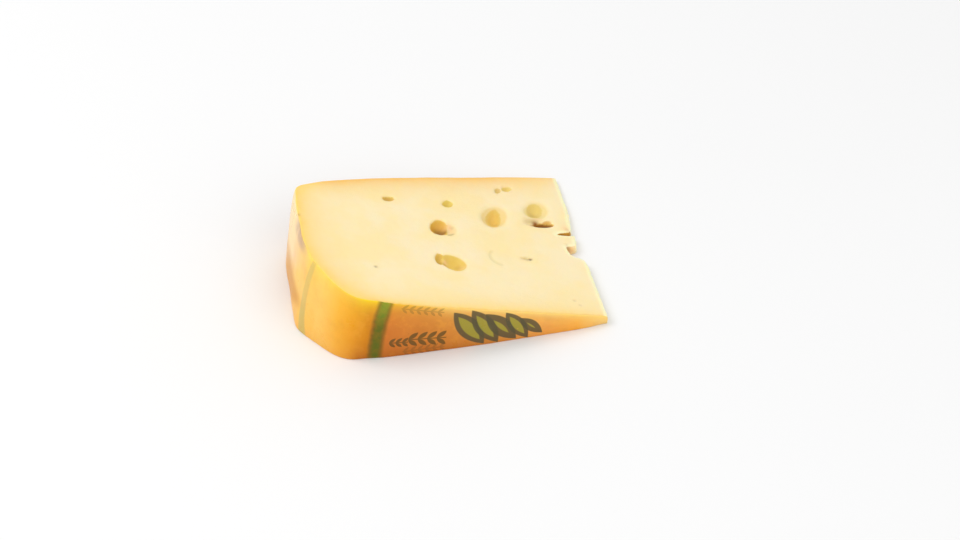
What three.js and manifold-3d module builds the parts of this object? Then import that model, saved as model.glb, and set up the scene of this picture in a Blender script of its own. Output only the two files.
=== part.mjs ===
// A wedge cut from a wheel of large-eyed semi-hard cheese, lying on one of its two cut faces.
//
// Millimetres, +Z up. The wheel's axis is parallel to Y. The heel (the wheel's rim) is at -X,
// the thin nose at +X, and the wheel's two flat rind faces look to -Y (front) and +Y (back).
// The lower cut face lies in the plane z = 0, and the upper one climbs from the nose to the heel.
// The origin is the middle of the bounding box's underside.
//
// Places on a cut face are given as (radius, across): the distance from the wheel's axis, and the
// distance from the wheel's middle plane, positive to the back.

import * as THREE from 'three';
import { mergeGeometries, mergeVertices } from 'three/addons/utils/BufferGeometryUtils.js';
import Module from 'manifold-3d';

// ---- Driving dimensions ---------------------------------------------------------------------

const WEDGE_ANGLE = THREE.MathUtils.degToRad(14.5);

const WHEEL = {
  radius: 174, // to the middle of the rim
  halfHeight: 62.3, // at the wheel's centre
  domeShare: 0.19, // how much of the half height the doming takes off, out at the rim
  shoulderRadius: 143.5, // where the flat face starts to turn into the rim
  shoulderPower: 3.75,
  shoulderRoot: 1.65,
};

// The heel spreads outward by this much where the wedge lies on it.
const HEEL_SPREAD = 1.0;

// Low on the heel the rind bulges out: how far across from the middle plane the bulge sits, how far
// it reaches along the rim, how far it goes out, and how far up it reaches as a share of the angle.
const HEEL_BULGE = { across: -19, reach: 14.5, out: 3.0, reachUp: 0.28 };

// Where the uncut sector starts, nearer to the wheel's axis than any point of the finished nose.
const SECTOR_START_RADIUS = 7;

// The nose's edge on the upper cut face from back to front, as [radius, across]: a straight break,
// a thin tear, a tongue of paste that stands out, a bite-like notch, and the set-back front half.
const NOSE_EDGE = [
  [10.48, 63.5], [13.6, 33.1], [15.4, 23.9], [17.0, 16.5], [17.8, 13.8],
  [19.0, 11.9], [24.6, 10.7], [27.1, 9.8], [22.0, 9.3],
  [17.1, 9.2], [17.7, 5.9], [19.5, -0.4],
  [25.2, -1.2], [25.3, -5.0], [24.6, -8.5], [22.8, -10.2], [20.6, -11.1],
  [19.0, -12.6], [18.4, -17.5], [19.5, -29.2], [20.9, -46.8], [22.1, -63.5],
];

// The eyes: gas bubbles that a cut has opened. radii are along the wheel's radius, across it and
// into the paste, turn is the outline's rotation on the cut face in degrees, and lift is how far
// the bubble's centre lies above the cut face (negative: below it).
const TOP_EYES = [
  { at: [93.2, 13.7], radii: [7.0, 5.0, 6.0], turn: 61, lift: 0.4 },
  { at: [88.0, 11.7], radii: [5.8, 4.2, 2.8], turn: 59, lift: 0.4 },
  { at: [58.2, 24.9], radii: [10.6, 7.2, 4.4], turn: 55, lift: 0.9 },
  { at: [58.5, 24.6], radii: [9.4, 4.7, 6.0], turn: 66, lift: 1.8 },
  { at: [32.0, 31.2], radii: [8.8, 6.8, 3.4], turn: 38, lift: 0.7 },
  { at: [32.7, 31.8], radii: [7.6, 5.0, 4.4], turn: 58, lift: 1.2 },
  { at: [35.9, 21.9], radii: [9.2, 3.7, 2.2], turn: 18, lift: 0.9 },
  { at: [32.3, 18.4], radii: [6.2, 2.5, 4.4], turn: 3, lift: 0 },
  { at: [29.2, 20.4], radii: [3.2, 2.4, 1.6], turn: 20, lift: 0.2 },
  { at: [94.8, -17.3], radii: [6.5, 7.7, 5.2], turn: 34, lift: 0.8 },
  { at: [101.4, -14.4], radii: [5.3, 2.7, 4.0], turn: 74, lift: 0.3 },
  { at: [81.8, 35.5], radii: [3.7, 2.8, 3.2], turn: 48, lift: 0.1 },
  { at: [114.6, 38.9], radii: [3.4, 2.3, 2.6], turn: 7, lift: 0 },
  { at: [48.6, 48.9], radii: [3.0, 1.9, 1.8], turn: 59, lift: 0.1 },
  { at: [43.0, 50.7], radii: [3.3, 2.1, 2.4], turn: 17, lift: 0.1 },
  { at: [52.2, -12.0], radii: [3.0, 0.9, 1.4], turn: 8, lift: 0.1 },
];
const UNDERSIDE_EYES = [
  { at: [118, 20], radii: [7.0, 6.4, 5.0], turn: 15, lift: 0.6 },
  { at: [74, -26], radii: [6.0, 7.0, 4.4], turn: -20, lift: 0.8 },
  { at: [136, -30], radii: [4.2, 4.6, 3.4], turn: 0, lift: 0.4 },
  { at: [62, 38], radii: [3.2, 2.6, 2.4], turn: 30, lift: 0.2 },
];

const COLOUR = { paste: 0xfdeab0 };

// How finely the curved surfaces are faceted.
const PROFILE_STEPS = 26; // from the nose to the middle of the rim, on each side
const SECTOR_STEPS = 6; // across the wedge angle
const EYE_FACETS = [22, 14];

// ---- Helpers --------------------------------------------------------------------------------

const wasm = await Module();
wasm.setup();

/** Keeps only a geometry's positions and merges the vertices that its faces share. */
function welded(geometry) {
  geometry.deleteAttribute('normal');
  geometry.deleteAttribute('uv');
  return mergeVertices(geometry);
}

function toSolid(geometry) {
  const closed = welded(geometry);
  return new wasm.Manifold(new wasm.Mesh({
    numProp: 3,
    vertProperties: new Float32Array(closed.attributes.position.array),
    triVerts: new Uint32Array(closed.index.array),
  }));
}

function toGeometry(solid) {
  const mesh = solid.getMesh();
  const geometry = new THREE.BufferGeometry();
  geometry.setAttribute('position', new THREE.Float32BufferAttribute(mesh.vertProperties, 3));
  geometry.setIndex(Array.from(mesh.triVerts));
  return geometry;
}

function flipped(geometry) {
  const index = geometry.index.array;
  for (let i = 0; i < index.length; i += 3) {
    [index[i], index[i + 1]] = [index[i + 1], index[i]];
  }
  return geometry;
}

/** Half of the wheel's height at a distance from its axis: a slight dome with a rounded shoulder. */
function halfHeight(radius) {
  const dome = WHEEL.halfHeight * (1 - WHEEL.domeShare * (radius / WHEEL.radius) ** 2);
  const past = (radius - WHEEL.shoulderRadius) / (WHEEL.radius - WHEEL.shoulderRadius);
  const shoulder = 1 - Math.max(past, 0) ** WHEEL.shoulderPower;
  return dome * Math.max(shoulder, 0) ** (1 / WHEEL.shoulderRoot);
}

/** Distances from the axis, closer together towards the rim, where the profile turns. */
function profileRadii() {
  const span = WHEEL.radius - SECTOR_START_RADIUS;
  return Array.from({ length: PROFILE_STEPS + 1 }, (_, i) => (
    SECTOR_START_RADIUS + span * (1 - (1 - i / PROFILE_STEPS) ** 2.5)
  ));
}

// ---- The wedge's body -----------------------------------------------------------------------

/** The wheel's profile as a closed loop: along the front face, round the rim, back to the nose. */
function profileLoop() {
  const front = profileRadii().map((r) => new THREE.Vector2(r, -halfHeight(r)));
  const back = profileRadii().reverse().slice(1).map((r) => new THREE.Vector2(r, halfHeight(r)));
  return [...front, ...back];
}

/** A cut face: the profile filled in, in the half plane at an angle above the lower cut face. */
function cutFace(loop, angle) {
  return new THREE.ShapeGeometry(new THREE.Shape(loop)).rotateY(Math.PI + angle);
}

/** How far the bulge low on the heel goes out at a place and a share of the wedge angle. */
function heelBulge(radius, across, up) {
  const away = Math.hypot(radius - WHEEL.radius, across - HEEL_BULGE.across) / HEEL_BULGE.reach;
  return HEEL_BULGE.out * Math.exp(-(away ** 2)) * Math.exp(-2 * (up / HEEL_BULGE.reachUp) ** 2);
}

/** Pushes the heel outward, most at the underside and not at all at the upper cut face. */
function spreadHeel(geometry) {
  const position = geometry.attributes.position;
  for (let i = 0; i < position.count; i += 1) {
    const [x, y, z] = [position.getX(i), position.getY(i), position.getZ(i)];
    const radius = Math.hypot(x, z);
    const up = Math.atan2(z, -x) / WEDGE_ANGLE;
    const spread = HEEL_SPREAD * (1 - up) * (radius / WHEEL.radius) ** 3;
    const scale = 1 + (spread + heelBulge(radius, y, up)) / radius;
    position.setXYZ(i, x * scale, y, z * scale);
  }
  return geometry;
}

/** The sector of the wheel between the two cut planes, which meet on the wheel's axis. */
function sector() {
  const loop = profileLoop();
  const rind = new THREE.LatheGeometry([...loop, loop[0]], SECTOR_STEPS, -Math.PI / 2, WEDGE_ANGLE);
  const lower = cutFace(loop, 0);
  const upper = cutFace(loop, WEDGE_ANGLE);
  return toSolid(spreadHeel(mergeGeometries([rind, lower, flipped(upper)])));
}

/** Everything past the nose's torn edge, as an upright block. */
function noseOffcut() {
  const beyond = 30;
  const height = 60;
  const level = Math.cos(WEDGE_ANGLE);
  const edge = NOSE_EDGE.map(([radius, across]) => new THREE.Vector2(-radius * level, across));
  const shape = new THREE.Shape([
    ...edge,
    new THREE.Vector2(beyond, edge.at(-1).y - beyond),
    new THREE.Vector2(beyond, edge[0].y + beyond),
  ]);
  const block = new THREE.ExtrudeGeometry(shape, { depth: height, bevelEnabled: false });
  return toSolid(block.translate(0, 0, -height / 2));
}

/** One eye's bubble, standing on the cut face at an angle; side is 1 for the upper face, else -1. */
function eye({ at: [radius, across], radii, turn, lift }, angle, side) {
  const bubble = new THREE.SphereGeometry(1, ...EYE_FACETS);
  bubble.scale(radii[0], radii[1], radii[2]);
  bubble.rotateZ(THREE.MathUtils.degToRad(turn));
  bubble.translate(-radius, across, side * lift);
  return toSolid(bubble.rotateY(angle));
}

function cheeseWedge() {
  const cutters = [
    noseOffcut(),
    ...TOP_EYES.map((spec) => eye(spec, WEDGE_ANGLE, 1)),
    ...UNDERSIDE_EYES.map((spec) => eye(spec, 0, -1)),
  ];
  const solid = cutters.reduce((body, cutter) => body.subtract(cutter), sector());
  const geometry = toGeometry(solid);
  geometry.computeBoundingBox();
  const { min, max } = geometry.boundingBox;
  return geometry.translate(-(min.x + max.x) / 2, -(min.y + max.y) / 2, -min.z);
}

// ---- The model ------------------------------------------------------------------------------

const wedge = new THREE.Mesh(
  cheeseWedge(),
  new THREE.MeshStandardMaterial({ color: COLOUR.paste, roughness: 0.55, metalness: 0 }),
);
wedge.name = 'cheese_wedge';

const model = new THREE.Group();
model.name = 'cheese';
model.add(wedge);

export default model;
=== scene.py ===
"""The looks of a wedge cut from a wheel of large-eyed semi-hard cheese, lying on a cut face.

The wedge is one closed mesh that stands for the CAD solid. Its side wall is a grid of columns round
the outline and rows from the lower cut face to the upper one. The two cut faces are filled with
triangles, finer where there is an eye, a crack or a pit.

Shapes are in millimetres in the wheel's own frame: the wheel's axis is at x = 0, z = 0, the heel is
at -x, and the wheel's middle plane is y = 0. A place on a cut face is (radius, across): the distance
from the wheel's axis, and y. Meshes, lamps and the camera are in metres, in the part's frame.
"""

import math
from typing import NamedTuple

import bpy
import numpy as np
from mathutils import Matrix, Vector, kdtree, noise
from mathutils.geometry import delaunay_2d_cdt


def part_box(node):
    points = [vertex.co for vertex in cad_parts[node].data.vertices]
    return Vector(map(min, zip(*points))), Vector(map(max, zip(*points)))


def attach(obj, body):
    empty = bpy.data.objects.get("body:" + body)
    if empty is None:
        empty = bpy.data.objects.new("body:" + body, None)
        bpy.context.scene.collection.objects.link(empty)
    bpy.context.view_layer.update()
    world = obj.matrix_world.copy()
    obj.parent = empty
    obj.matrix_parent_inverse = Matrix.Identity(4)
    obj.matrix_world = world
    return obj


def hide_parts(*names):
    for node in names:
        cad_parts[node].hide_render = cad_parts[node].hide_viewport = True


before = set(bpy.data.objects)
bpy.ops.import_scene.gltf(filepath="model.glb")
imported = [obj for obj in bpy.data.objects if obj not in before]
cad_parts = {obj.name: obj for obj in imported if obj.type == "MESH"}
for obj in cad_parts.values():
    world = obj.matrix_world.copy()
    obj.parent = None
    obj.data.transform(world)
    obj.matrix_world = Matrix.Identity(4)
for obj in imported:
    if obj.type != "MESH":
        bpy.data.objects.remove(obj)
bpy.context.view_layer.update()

# ---- Driving dimensions, in millimetres and degrees ----

MM = 0.001
WEDGE_ANGLE = math.radians(14.5)

WHEEL_RADIUS = 174.0
WHEEL_HALF_HEIGHT = 62.3  # at the wheel's centre
DOME_SHARE = 0.19  # how much of the half height the doming takes off, out at the rim
SHOULDER_RADIUS = 143.5  # where the flat face starts to turn into the rim
SHOULDER_POWER = 3.75
SHOULDER_ROOT = 1.65
HEEL_SPREAD = 1.0  # how far the heel spreads outward where the wedge lies on it

# Where the rind bulges or sinks: the place, how far up as a share of the wedge angle, how far the
# unevenness reaches along the rind and up it, and how far it goes outward.
UNEVEN = [
    ((163.5, 47), 1, 6, 0.8, 2),
    ((154, 51.5), 1, 8, 9, -0.8),
    ((120, 57.5), 1, 14, 9, 0.5),
    ((171.5, 18), 1, 16, 9, -1.5),
    ((173.5, -17), 1, 7.5, 9, 1),
    ((150, -53), 1, 7, 9, -1),
    ((173.5, -19), 0, 14.5, 0.28, 3),
    ((24, -61), 0, 5, 0.5, -0.8),
]
BUMP_FOOT = 1.41  # how many reaches away from its middle a bump ends

# The nose's edge on the upper cut face, from the front to the back, as strokes that are smooth
# between their ends and meet at corners.
NOSE_STROKES = [
    [(22.2, -62.2), (20.9, -46.8), (19.5, -29.2), (18.4, -17.5), (19, -12.6)],  # the front half
    [(19, -12.6), (20.6, -11.1), (22.8, -10.2), (24.6, -8.5), (25.3, -5), (25.2, -1.2)],  # notch
    [(25.2, -1.2), (22, -1), (19.5, -0.4)],  # the notch's side
    [(19.5, -0.4), (17.7, 5.9), (17.1, 9.2)],  # the tongue's end
    [(17.1, 9.2), (22, 9.3), (27.1, 9.8)],  # the tear's front side
    [(27.1, 9.8), (24.6, 10.7), (21, 11.5), (19, 11.9), (17.8, 13.8)],  # the tear's back side
    [(17.8, 13.8), (17, 16.5), (15.4, 23.9), (13.6, 33.1), (10.6, 62.3)],  # the break at the back
]
# The thin tear: how far across its middle lies, its half width, and where along it painted shade
# darkens the paste.
TEAR_ACROSS = 10.9
TEAR_HALF_WIDTH = 2.6
TEAR_DARKENS = (17.6, 19)

# How uneven the surfaces are: the waves' length, their height, and the noise's seed.
CUT_WAVES = [(30, 0.12, 1), (9, 0.05, 2)]
NOSE_EDGE_WAVES = [(5, 0.16, 3), (1.8, 0.12, 4)]
RIND_WAVES = [(28, 0.2, 5), (8, 0.07, 6)]
BREAK_WAVES = [(2.6, 0.3, 7), (0.9, 0.1, 8)]
BREAK_BULGE = 0.25  # how far the nose's broken face stands out between its edges
RIND_NOISE_HEIGHT = 40  # how far the rind's noise runs from the lower cut face to the upper one


class Eye(NamedTuple):
    """An eye: a gas bubble that a cut has opened."""

    at: tuple
    radii: tuple  # along the wheel's radius, across it and into the paste
    turn: float  # the outline's rotation in degrees
    lift: float  # how far the bubble's centre lies outside the cut face
    soft: float  # how rounded the lip is
    # The wall's gold, bottom shade and tint are painted: bounced light, shade, and how strongly both
    # show.
    gold: float = 0.0  # how golden the wall is
    bottom_shade: float = 0.0  # how brown the wall gets toward its bottom
    tint: float = 1.0  # how much the wall's colour stands out


TOP_EYES = [
    Eye((93.2, 13.7), (7, 5, 6), 61, 0.4, 0.3, gold=0.88),
    Eye((88, 11.7), (5.8, 4.2, 2.8), 59, 0.4, 0.8, tint=0.3),
    Eye((58.2, 24.9), (10.6, 7.2, 4.4), 55, 0.9, 0.9, gold=0.5, tint=0.5),
    Eye((58.5, 24.6), (9.4, 4.7, 6), 66, 1.8, 0.9, gold=0.7, tint=0.95),
    Eye((32, 31.2), (8.8, 6.8, 3.4), 38, 0.7, 0.9, gold=0.1, tint=0.5),
    Eye((32.7, 31.8), (7.6, 5, 4.4), 58, 1.2, 0.9, gold=0.25, tint=0.85),
    Eye((35.9, 21.9), (9.2, 3.7, 2.2), 18, 0.9, 1, tint=0.25),
    Eye((32.3, 18.4), (6.2, 2.5, 4.4), 3, 0, 0.1, gold=1, bottom_shade=0.95),
    Eye((29.2, 20.4), (3.2, 2.4, 1.6), 20, 0.2, 0.8, gold=0.9, bottom_shade=0.15, tint=0.9),
    Eye((94.8, -17.3), (6.5, 7.7, 5.2), 34, 0.8, 0.7, gold=0.35),
    Eye((101.4, -14.4), (5.3, 2.7, 4), 74, 0.3, 0.5, gold=0.5, bottom_shade=0.12),
    Eye((81.8, 35.5), (3.7, 2.8, 3.2), 48, 0.1, 0.5, gold=0.05),
    Eye((114.6, 38.9), (3.4, 2.3, 2.6), 7, 0, 0.6, gold=0.4, bottom_shade=0.2, tint=0.9),
    Eye((48.6, 48.9), (3, 1.9, 1.8), 59, 0.1, 0.7, gold=0.25, bottom_shade=0.15, tint=0.6),
    Eye((43, 50.7), (3.3, 2.1, 2.4), 17, 0.1, 0.7, tint=0.75),
    Eye((52.2, -12), (3, 0.9, 1.4), 8, 0.1, 0.7, tint=0.3),
]
UNDERSIDE_EYES = [
    Eye((118, 20), (7, 6.4, 5), 15, 0.6, 0.4, gold=0.8, bottom_shade=0.4),
    Eye((74, -26), (6, 7, 4.4), -20, 0.8, 0.6, gold=0.6, bottom_shade=0.1),
    Eye((136, -30), (4.2, 4.6, 3.4), 0, 0.4, 0.5, gold=0.4, bottom_shade=0.1),
    Eye((62, 38), (3.2, 2.6, 2.4), 30, 0.2, 0.5, gold=0.2),
]
# How the softest eye's lip is rounded: how far past the lip its bowl reaches as a share, how steep
# the bowl is, and how much of the wall is bowl and not bubble.
BOWL_PAST_LIP = 0.3
BOWL_POWER = 1.6
BOWL_SHARE = 0.75
# How an eye's painted light and shade come in: at what depth a sharp eye's tinted wall shows in full
# and how much deeper the softest one's does, and between which shares of its depth it turns golden
# with painted bounced light and brown with painted shade.
WALL_SHOWS = (0.3, 1.2)
TURNS_GOLD = (-0.5, 0.9)
TURNS_BROWN = (0.1, 0.6)

# Small dents in the upper cut face, and where torn paste stands up from it: place, reach and depth.
DENTS = [
    ((36.5, -49), 1.3, 0.45), ((34.5, -53), 1.1, 0.35), ((37.9, -41), 1, 0.2),
    ((139.8, -22.5), 1, 0.5), ((50, -13), 1.3, 0.8), ((50.5, -12.8), 4.5, 0.25),
    ((19, 15.5), 3.2, 0.6), ((97.9, -13.5), 1.6, -0.6), ((34.4, 24.6), 2, -0.6),
]
# Dark grains and stains on the upper cut face, and painted shadow in eyes' bottoms and under their
# lips: place, reach and strength.
STAINS_AND_SHADOWS = [
    ((139.8, -22.6), 1.3, 0.55), ((49.8, -13.1), 1.3, 0.9), ((51.8, -13.2), 2, 0.5),
    ((54.6, -13), 1.8, 0.2), ((170.4, 22), 1.6, 0.7), ((36.5, -49.2), 1.3, 0.18),
    ((34.6, -53.2), 1, 0.14), ((40.6, 21.8), 3, 0.2), ((38, 22.4), 2.6, 0.18),
    ((41.4, 18.4), 1.2, 0.2), ((39.6, 18.2), 1.2, 0.25), ((93.8, 15.8), 2, 0.2),
    ((91.8, 14.3), 3.2, 0.45), ((89.8, 12.8), 2.2, 0.3), ((86.9, 9.4), 1.6, 0.4),
    ((88.8, 9), 1.6, 0.4), ((85.4, 14.6), 1.4, 0.18),
]
# Painted shade, browning the cut face and the eyes' walls in the eyes, the slit, by the tear and in
# the notch's
# corner, and a brown blot by the slit: place, reach and strength.
SHADES = [
    ((96.2, 16.4), 1.6, 0.2), ((93.8, 15.8), 2, 0.2), ((91.8, 14.3), 3.2, 0.5),
    ((89.8, 12.8), 2.2, 0.3), ((58.4, 20.6), 2.4, 0.22), ((34, 28.6), 4, 0.3),
    ((35.6, 21.6), 2.8, 0.65), ((36.2, 19.6), 2.4, 0.75), ((38.8, 17.5), 1.7, 0.6),
    ((98.6, -15.8), 1.4, 0.3), ((101.4, -14.9), 2.2, 0.35), ((97, -18.8), 2.2, 0.25),
    ((91.6, -18.2), 2.6, 0.2), ((24.8, 0.2), 1.6, 0.25), ((19.2, 14.4), 2, 0.15),
]
# Where paste is torn, dull and peach-coloured, with painted light on lit eye walls and a painted
# highlight between
# the lobes of a twin eye: place, reach and strength.
TORN_AND_LIT = [
    ((87, 15), 3.2, 0.9), ((86, 12), 2.4, 0.5), ((98, -14.4), 2.2, 0.9), ((90, -20), 2.8, 0.6),
    ((34.1, 24.6), 2.2, 0.7), ((31.8, 22.8), 1.6, 0.6), ((19.8, 14.8), 3.4, 0.95),
]
# The same on the nose's broken face: painted shade in the notch's corner and the tear, and peach on
# the notch's walls.
NOSE_SHADES = [((24.9, -1.6), 2.4, 0.55), ((24, 10.4), 4.6, 0.6), ((18.8, 11.8), 2.4, 0.6)]
NOSE_PEACH = [((22.4, -1.2), 5, 1), ((25, -5), 5, 0.7)]

# A faint curved scar, where the knife has lifted a flake: the arc's centre and radius, which way it
# bulges, and how far round it goes.
SCAR_CENTRE = (64.8, -12.2)
SCAR_RADIUS = 7.4
SCAR_FACING = 190.0
SCAR_HALF_SPAN = 78.0
SCAR_DEPTH = 0.25
SCAR_WIDTH = 1.2
SCAR_SCOOP = 0.1
SCAR_REACH = 9.5

# How the edges are worn: over what width, and how far they drop.
CUT_EDGE_WIDTH = 0.9
CUT_EDGE_DROP = 0.22
NOSE_EDGE_WIDTH = 2.0
NOSE_EDGE_DROP = 0.55

# How fine the mesh is.
ROWS = 44
ROW_CROWDING = 0.7  # how much closer together the rows are near the cut faces
RIND_STEP = 1.0
RIND_SAMPLES = 4000
NOSE_STEP = 0.6
UPPER_STEP = 0.95
UNDERSIDE_STEP = 1.7
EYE_STEP = 0.6
FINE_STEP = 0.4
FINE_MARGIN = 2.0  # how far past a dent the fine mesh goes
EDGE_ROWS = (0.35, 0.8, 1.4, 2.2)
OUTSIDE_LIP = (0.3, 0.7)  # where rings of places follow an eye's lip
CLEAR_OF_LIP = 0.8  # how far from an eye's lip the cut face's own places keep
COARSE_CLEAR_OF_LIP = 0.9

# How the mesh is smoothed: over what width and how strongly at a sharp eye's lip, and how much more
# at the softest one's; the same at the cut faces' edges, also as a share of the side wall's height.
LIP_WIDTH = (0.7, 1.6)
LIP_STRENGTH = (0.4, 0.5)
EDGE_WIDTH = 1.6
EDGE_WIDTH_SHARE = 0.04
EDGE_STRENGTH = 0.5
SMOOTHING_ROUNDS = 6

# FAR: this far from the nose, the painted glow of its thin paste no longer shows.
FAR = 50.0  # so far from the nose that it no longer colours the paste

SEED = 7

# The camera, as the photograph was taken. It looks at a target given in the wheel's own frame.
CAMERA_AZIMUTH = -17.07
CAMERA_ELEVATION = 38.52
CAMERA_LENS = 176.25
CAMERA_SENSOR = 36.0
CAMERA_DISTANCE = 2455.3
CAMERA_TARGET = (-79.04, -22.78, 19.55)

# The studio: the lamps' names, places in metres, sizes and powers. They aim at the part's origin.
LAMPS = [
    ("key", (-1.2, 0.4, 1.6), 1.2, 14),
    ("fill", (0.6, -1.6, 1.4), 1.6, 8),
]
WORLD_STRENGTH = 0.8
FLOOR_HALF_SIZE = 6.0


# ---- Noise and steps ----


def ripple(points, size, seed):
    """Smooth noise from about -1 to 1 at points in millimetres; size is the waves' length."""
    points = np.asarray(points, float) / size
    if points.shape[1] == 2:
        points = np.column_stack([points, np.zeros(len(points))])
    offset = Vector((17.3 * seed, 9.1 * seed, 4.7 * seed))
    return np.array([noise.noise(Vector(p) + offset) for p in points]) * 1.6


def waves(points, listed):
    """Sum of ripples at points, each given as its waves' length, its height and its seed."""
    return sum(height * ripple(points, size, seed) for size, height, seed in listed)


def smoothstep(low, high, value):
    share = np.clip((value - low) / (high - low), 0, 1)
    return share * share * (3 - 2 * share)


def bell(distance, reach):
    """1 at no distance, falling softly to nearly 0 at the reach."""
    return np.exp(-2 * (distance / reach) ** 2)


def worn(distance, width, drop):
    """How far a worn edge has dropped at a distance from it."""
    return drop * np.clip(1 - distance / width, 0, 1) ** 2


def from_ends(count):
    """How many steps each point of a row is from the row's nearer end."""
    return np.minimum(np.arange(count), np.arange(count)[::-1])


# ---- The wheel and the wedge's outline ----


def half_height(radius):
    """Half of the wheel's height at a distance from its axis: a slight dome with a round shoulder."""
    dome = WHEEL_HALF_HEIGHT * (1 - DOME_SHARE * (radius / WHEEL_RADIUS) ** 2)
    past = np.clip((radius - SHOULDER_RADIUS) / (WHEEL_RADIUS - SHOULDER_RADIUS), 0, 1)
    return dome * (1 - past**SHOULDER_POWER) ** (1 / SHOULDER_ROOT)


def rind_radii(nose_radius):
    """Distances from the axis, from the nose to the middle of the rim, even along the rind."""
    shares = 1 - (1 - np.linspace(0, 1, RIND_SAMPLES)) ** 2.5  # finer toward the rim's turn
    radius = nose_radius + (WHEEL_RADIUS - nose_radius) * shares
    steps = np.hypot(np.diff(radius), np.diff(half_height(radius)))
    along = np.concatenate([[0], np.cumsum(steps)])
    count = round(along[-1] / RIND_STEP)
    return np.interp(np.linspace(0, along[-1], count + 1), along, radius)


def smooth_stroke(points, step):
    """Places about a step apart on a smooth curve through some points."""
    points = np.array(points, float)
    padded = np.vstack([2 * points[0] - points[1], points, 2 * points[-1] - points[-2]])
    curve = [points[:1]]
    for before, start, end, after in zip(padded, padded[1:], padded[2:], padded[3:]):
        count = max(2, round(np.linalg.norm(end - start) / step))
        t = (np.arange(1, count + 1) / count)[:, None]
        turn_in, turn_out = (end - before) / 2, (after - start) / 2
        curve.append(
            start * (2 * t**3 - 3 * t**2 + 1)
            + turn_in * (t**3 - 2 * t**2 + t)
            + end * (3 * t**2 - 2 * t**3)
            + turn_out * (t**3 - t**2)
        )
    return np.vstack(curve)


def nose_edge():
    """The nose's torn edge on the upper cut face, from the front rind to the back rind."""
    strokes = [smooth_stroke(stroke, NOSE_STEP) for stroke in NOSE_STROKES]
    edge = np.vstack([strokes[0]] + [stroke[1:] for stroke in strokes[1:]])
    ends = smoothstep(0, 6, half_height(edge[:, 0]) - np.abs(edge[:, 1]))
    edge[:, 0] += waves(edge, NOSE_EDGE_WAVES) * ends
    edge[0, 1] = -half_height(edge[0, 0])
    edge[-1, 1] = half_height(edge[-1, 0])
    return edge


def uneven(radius, across, share_up):
    """Moves one row of the rind's outline out and in, where the wheel isn't quite even."""
    along = np.column_stack([np.gradient(radius), np.gradient(across)])
    along /= np.linalg.norm(along, axis=1)[:, None]
    places = np.column_stack([radius, across])
    out = np.zeros(len(radius))
    for at, up, reach, reach_up, outward in UNEVEN:
        distance = np.hypot(*(places - at).T)
        out += outward * bell(distance, reach * BUMP_FOOT) * bell(share_up - up, reach_up)
    solid = np.column_stack([places, np.full(len(places), share_up * RIND_NOISE_HEIGHT)])
    out += waves(solid, RIND_WAVES) * smoothstep(0, 12, from_ends(len(radius)))
    return radius - out * along[:, 1], across + out * along[:, 0]


def spread(radius, share_up):
    """Pushes the heel outward, most at the underside and not at all at the upper cut face."""
    return radius * (1 + (HEEL_SPREAD / WHEEL_RADIUS) * (1 - share_up) * (radius / WHEEL_RADIUS) ** 2)


def row_shares():
    """The rows' heights as shares of the wedge angle, closer together near the cut faces."""
    even = np.linspace(0, 1, ROWS)
    return even + ROW_CROWDING * ((1 - np.cos(math.pi * even)) / 2 - even)


def rind_row(share_up, front_end, back_end):
    """One row of the rind, from the back of the nose round the heel to its front."""
    level = math.cos(WEDGE_ANGLE) / math.cos(share_up * WEDGE_ANGLE)
    radii, sides = [], []
    for end, side in ((back_end, 1), (front_end, -1)):
        base = rind_radii(end)
        scale = (WHEEL_RADIUS - end * level) / (WHEEL_RADIUS - end)
        half = WHEEL_RADIUS - (WHEEL_RADIUS - base) * scale
        radii.append(half if side > 0 else half[-2::-1])
        sides.append(np.full(len(radii[-1]), side))
    radius, side = np.concatenate(radii), np.concatenate(sides)
    return uneven(radius, side * half_height(radius), share_up)


def side_wall():
    """The side wall's points as rows x columns x 3, and how many of the columns are the nose's."""
    edge = nose_edge()
    nose_x = -edge[:, 0] * math.cos(WEDGE_ANGLE)
    rows = []
    for share_up in row_shares():
        angle = share_up * WEDGE_ANGLE
        radius, across = rind_row(share_up, edge[0, 0], edge[-1, 0])
        nose = np.column_stack([nose_x, edge[:, 1], -nose_x * math.tan(angle)])
        outer = spread(radius, share_up)
        rind = np.column_stack([-outer * math.cos(angle), across, outer * math.sin(angle)])
        nose[-1], nose[0] = rind[0], rind[-1]
        rows.append(np.vstack([nose, rind[1:-1]]))
    return np.array(rows), len(edge)


# ---- Eyes, pits and scars ----


def eye_wobble(eye, angle):
    """How an eye's outline swells and shrinks around it, close to 1."""
    phase = sum(eye.at)
    return 1 + 0.03 * np.sin(2 * angle + phase) + 0.025 * np.sin(3 * angle + 2.3 * phase)


def eye_share(eye, places):
    """How far places lie from an eye's centre, as a share of the bubble's half width."""
    turn = math.radians(eye.turn)
    toward_nose = eye.at[0] - places[:, 0]
    back = places[:, 1] - eye.at[1]
    x = (toward_nose * math.cos(turn) + back * math.sin(turn)) / eye.radii[0]
    y = (back * math.cos(turn) - toward_nose * math.sin(turn)) / eye.radii[1]
    return np.hypot(x, y) / eye_wobble(eye, np.arctan2(y, x))


def lip_share(eye):
    """The share at which a bubble's wall meets the cut face."""
    return math.sqrt(1 - (eye.lift / eye.radii[2]) ** 2)


def eye_depth(eye, places):
    """How deep an eye's wall lies under the cut face at some places, 0 outside it.

    A sharp eye is a bubble that the face cuts, and a soft one also has a bowl that rounds its lip.
    """
    share = eye_share(eye, places)
    radius, lift = eye.radii[2], eye.lift
    bubble = radius * np.sqrt(np.clip(1 - share**2, 0, 1)) - lift
    reach = lip_share(eye) * (1 + BOWL_PAST_LIP * eye.soft)
    bowl = (radius - lift) * np.clip(1 - (share / reach) ** 2, 0, 1) ** BOWL_POWER
    bowl_share = BOWL_SHARE * eye.soft
    return np.clip(bubble, 0, None) * (1 - bowl_share) + bowl * bowl_share


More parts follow.
